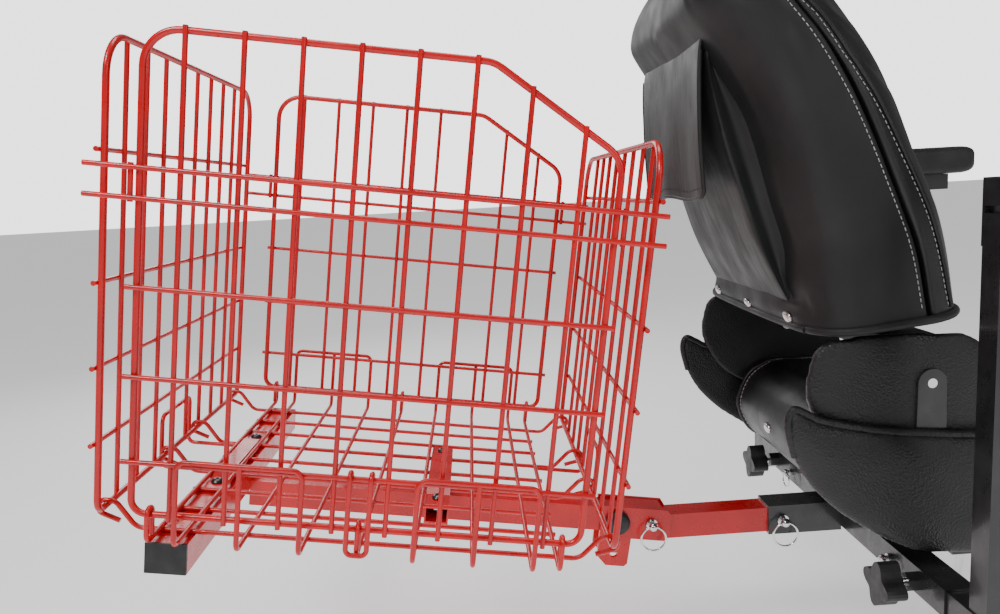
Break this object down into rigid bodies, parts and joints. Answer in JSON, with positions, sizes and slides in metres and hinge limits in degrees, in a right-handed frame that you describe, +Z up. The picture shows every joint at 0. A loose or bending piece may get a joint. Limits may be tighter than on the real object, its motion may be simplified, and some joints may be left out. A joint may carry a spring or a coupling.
{
  "type": "mobility scooter seat with rear basket",
  "caption": "Folding padded swivel seat with flip-up armrests and a fold-flat wire basket on a rear hitch",
  "frame": {"origin": "bottom end of the seat post, on its axis", "axes": "+X forwards, the way the rider faces; +Y to the rider's left; +Z up along the seat post"},
  "size_m": [1.2596, 0.63, 0.912],
  "materials": {
    "red_powder_coat": "gloss red powder coat on steel wire and tube",
    "black_steel": "semi-gloss black painted steel",
    "black_plastic": "matte black moulded plastic",
    "zinc_steel": "bright zinc plated steel",
    "chrome": "bright chrome",
    "grip_rubber": "black rubber grip",
    "arm_pad_foam": "black self-skinned foam with a leather grain",
    "moulded_shell": "black moulded plastic with a leather grain",
    "seat_leather": "black coated upholstery, grained, with pale stitching",
    "pocket_fabric": "smooth black coated fabric",
    "snap_metal": "bright snap fasteners"
  },
  "bodies": {
    "post": {"seat_post": "chrome", "swivel_bearing": "zinc_steel"},
    "seat": {"swivel_plate": "black_steel", "seat_frame": "black_steel", "armrest_socket_tube": "black_steel", "knob_nuts": "black_steel", "receiver_tube": "black_steel", "hitch_arm": "red_powder_coat", "pivot_bolt": "black_steel", "pivot_nut": "zinc_steel", "pivot_caps": "black_plastic", "seat_base_shell": "moulded_shell", "base_cushion": "seat_leather", "base_snaps": "snap_metal", "hinge_brackets": "black_steel"},
    "backrest": {"back_shell": "moulded_shell", "back_cushion": "seat_leather", "back_cover": "seat_leather", "back_pocket": "pocket_fabric", "pocket_flap": "pocket_fabric", "cover_snaps": "snap_metal", "back_hinge_bolts": "chrome"},
    "swivel_lever": {"swivel_lever": "black_steel", "swivel_lever_grip": "grip_rubber"},
    "basket": {"basket_floor": "red_powder_coat", "basket_main_tube": "red_powder_coat", "basket_cross_tube": "red_powder_coat", "front_cross_bar": "red_powder_coat", "cross_tube_caps": "black_plastic", "rear_clamp_strap": "red_powder_coat", "front_clamp_strap": "red_powder_coat", "clamp_bolts": "black_steel", "clamp_nuts": "zinc_steel"},
    "rear_wall": {"basket_rear_wall": "red_powder_coat"},
    "front_wall": {"basket_front_wall": "red_powder_coat"},
    "right_wall": {"basket_right_wall": "red_powder_coat"},
    "left_wall": {"basket_left_wall": "red_powder_coat"},
    "keeper": {"wall_keeper_loop": "red_powder_coat"},
    "lock_pin": {"hitch_lock_pin": "chrome"},
    "lock_ring": {"hitch_lock_ring": "chrome"},
    "receiver_pin": {"receiver_pin": "chrome"},
    "receiver_ring": {"receiver_pin_ring": "chrome"},
    "armrest_slide_right": {"armrest_bar_right": "black_steel", "armrest_bolt_right": "zinc_steel"},
    "armrest_right": {"armrest_arm_right": "black_steel", "armrest_pad_right": "arm_pad_foam"},
    "knob_right": {"clamp_knob_right": "black_plastic", "knob_stud_right": "chrome"},
    "stop_pin_right": {"stop_pin_right": "zinc_steel"},
    "stop_ring_right": {"stop_ring_right": "chrome"},
    "armrest_slide_left": {"armrest_bar_left": "black_steel", "armrest_bolt_left": "zinc_steel"},
    "armrest_left": {"armrest_arm_left": "black_steel", "armrest_pad_left": "arm_pad_foam"},
    "knob_left": {"clamp_knob_left": "black_plastic", "knob_stud_left": "chrome"},
    "stop_pin_left": {"stop_pin_left": "zinc_steel"},
    "stop_ring_left": {"stop_ring_left": "chrome"}
  },
  "joints": [
    {"name": "seat_swivel", "type": "hinge", "parent": "post", "child": "seat", "pos_m": [0, 0, 0], "axis": [0, 0, 1], "continuous": true},
    {"name": "swivel_lever_lift", "type": "hinge", "parent": "seat", "child": "swivel_lever", "pos_m": [0.04, -0.09, 0.1905], "axis": [-1, 0, 0], "range_deg": [0, 5], "stiffness_Nm_per_rad": 3, "springref_deg": -5.73},
    {"name": "backrest_fold", "type": "hinge", "parent": "seat", "child": "backrest", "pos_m": [-0.19, 0, 0.435], "axis": [0, 1, 0], "range_deg": [0, 80]},
    {"name": "armrest_width_right", "type": "slide", "parent": "seat", "child": "armrest_slide_right", "axis": [0, -1, 0], "range_m": [0, 0.045]},
    {"name": "armrest_flip_right", "type": "hinge", "parent": "armrest_slide_right", "child": "armrest_right", "pos_m": [-0.182, -0.285, 0.63], "axis": [0, -1, 0], "range_deg": [0, 90]},
    {"name": "knob_turn_right", "type": "hinge", "parent": "seat", "child": "knob_right", "pos_m": [-0.245, -0.192, 0.217], "axis": [1, 0, 0], "continuous": true},
    {"name": "stop_pin_pull_right", "type": "slide", "parent": "seat", "child": "stop_pin_right", "axis": [-1, 0, 0], "range_m": [0, 0.045]},
    {"name": "stop_ring_swing_right", "type": "hinge", "parent": "stop_pin_right", "child": "stop_ring_right", "pos_m": [-0.208, -0.138, 0.217], "axis": [0, 1, 0], "range_deg": [0, 80]},
    {"name": "armrest_width_left", "type": "slide", "parent": "seat", "child": "armrest_slide_left", "axis": [0, 1, 0], "range_m": [0, 0.045]},
    {"name": "armrest_flip_left", "type": "hinge", "parent": "armrest_slide_left", "child": "armrest_left", "pos_m": [-0.182, 0.285, 0.63], "axis": [0, -1, 0], "range_deg": [0, 90]},
    {"name": "knob_turn_left", "type": "hinge", "parent": "seat", "child": "knob_left", "pos_m": [-0.245, 0.192, 0.217], "axis": [1, 0, 0], "continuous": true},
    {"name": "stop_pin_pull_left", "type": "slide", "parent": "seat", "child": "stop_pin_left", "axis": [-1, 0, 0], "range_m": [0, 0.045]},
    {"name": "stop_ring_swing_left", "type": "hinge", "parent": "stop_pin_left", "child": "stop_ring_left", "pos_m": [-0.208, 0.138, 0.217], "axis": [0, 1, 0], "range_deg": [0, 80]},
    {"name": "lock_pin_pull", "type": "slide", "parent": "seat", "child": "lock_pin", "axis": [0, -1, 0], "range_m": [0, 0.055]},
    {"name": "lock_ring_swing", "type": "hinge", "parent": "lock_pin", "child": "lock_ring", "pos_m": [-0.44648, -0.03127, 0.2235], "axis": [-1, 0, 0], "range_deg": [0, 80]},
    {"name": "receiver_pin_pull", "type": "slide", "parent": "seat", "child": "receiver_pin", "axis": [0, -1, 0], "range_m": [0, 0.055]},
    {"name": "receiver_ring_swing", "type": "hinge", "parent": "receiver_pin", "child": "receiver_ring", "pos_m": [-0.276, -0.029, 0.216], "axis": [-1, 0, 0], "range_deg": [0, 80]},
    {"name": "basket_fold", "type": "hinge", "parent": "seat", "child": "basket", "pos_m": [-0.49, 0, 0.23], "axis": [0, 1, 0], "range_deg": [0, 5]},
    {"name": "rear_wall_fold", "type": "hinge", "parent": "basket", "child": "rear_wall", "pos_m": [-1.03014, 0, 0.36937], "axis": [0, 1, 0], "range_deg": [0, 90]},
    {"name": "front_wall_fold", "type": "hinge", "parent": "basket", "child": "front_wall", "pos_m": [-0.53009, 0, 0.29463], "axis": [0, -1, 0], "range_deg": [0, 80]},
    {"name": "right_wall_rock", "type": "hinge", "parent": "basket", "child": "right_wall", "pos_m": [-0.77863, -0.245, 0.34189], "axis": [-0.989, 0, 0.1478], "range_deg": [0, 2]},
    {"name": "left_wall_rock", "type": "hinge", "parent": "basket", "child": "left_wall", "pos_m": [-0.77863, 0.245, 0.34189], "axis": [0.989, 0, -0.1478], "range_deg": [0, 2]},
    {"name": "keeper_swing", "type": "hinge", "parent": "right_wall", "child": "keeper", "pos_m": [-0.77094, -0.2503, 0.39332], "axis": [-0.989, 0, 0.1478], "range_deg": [0, 70]}
  ]
}
